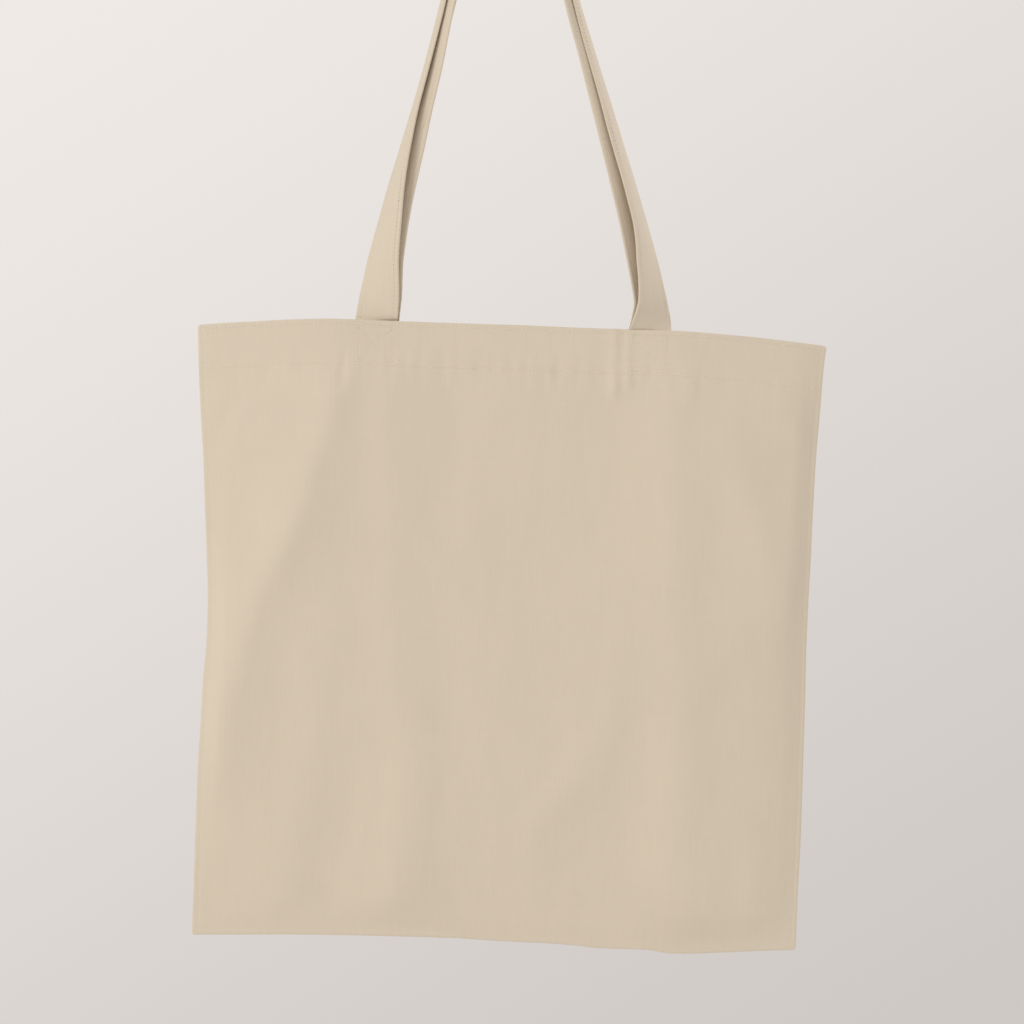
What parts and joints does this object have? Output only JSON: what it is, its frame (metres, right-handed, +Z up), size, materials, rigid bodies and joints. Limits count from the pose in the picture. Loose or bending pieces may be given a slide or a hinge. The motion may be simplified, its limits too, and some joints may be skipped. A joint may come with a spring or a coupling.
{
  "type": "canvas tote bag",
  "caption": "Flat unlined cotton canvas tote bag with a turned and stitched hem and long self-fabric handles, hanging by both handles over a round peg.",
  "frame": {"origin": "on the axis of the round peg that the handles hang over, half way along the part of it that they cover", "axes": "+Z up, -Y the front of the bag, +X to the right seen from the front"},
  "size_m": [0.3835, 0.0338, 0.6976],
  "materials": {
    "canvas": "matte",
    "thread": "matte"
  },
  "bodies": {
    "bag": {"front_panel": "canvas", "back_panel": "canvas", "front_left_strap_end": "canvas", "front_right_strap_end": "canvas", "back_left_strap_end": "canvas", "back_right_strap_end": "canvas", "hem_stitching": "thread", "front_left_box_stitching": "thread", "front_right_box_stitching": "thread", "back_left_box_stitching": "thread", "back_right_box_stitching": "thread", "left_seam_thread": "thread", "right_seam_thread": "thread", "bottom_seam_thread": "thread"},
    "front_handle": {"front_handle_loop": "canvas", "front_handle_stitching": "thread"},
    "back_handle": {"back_handle_loop": "canvas", "back_handle_stitching": "thread"}
  },
  "joints": [
    {"name": "front_handle_fold", "type": "hinge", "parent": "bag", "child": "front_handle", "pos_m": [0.0055, -0.008, -0.303], "axis": [0.9995, 0, -0.0314], "range_deg": [0, 150]},
    {"name": "back_handle_fold", "type": "hinge", "parent": "bag", "child": "back_handle", "pos_m": [0.0055, 0.008, -0.303], "axis": [-0.9995, 0, 0.0314], "range_deg": [0, 150]}
  ]
}
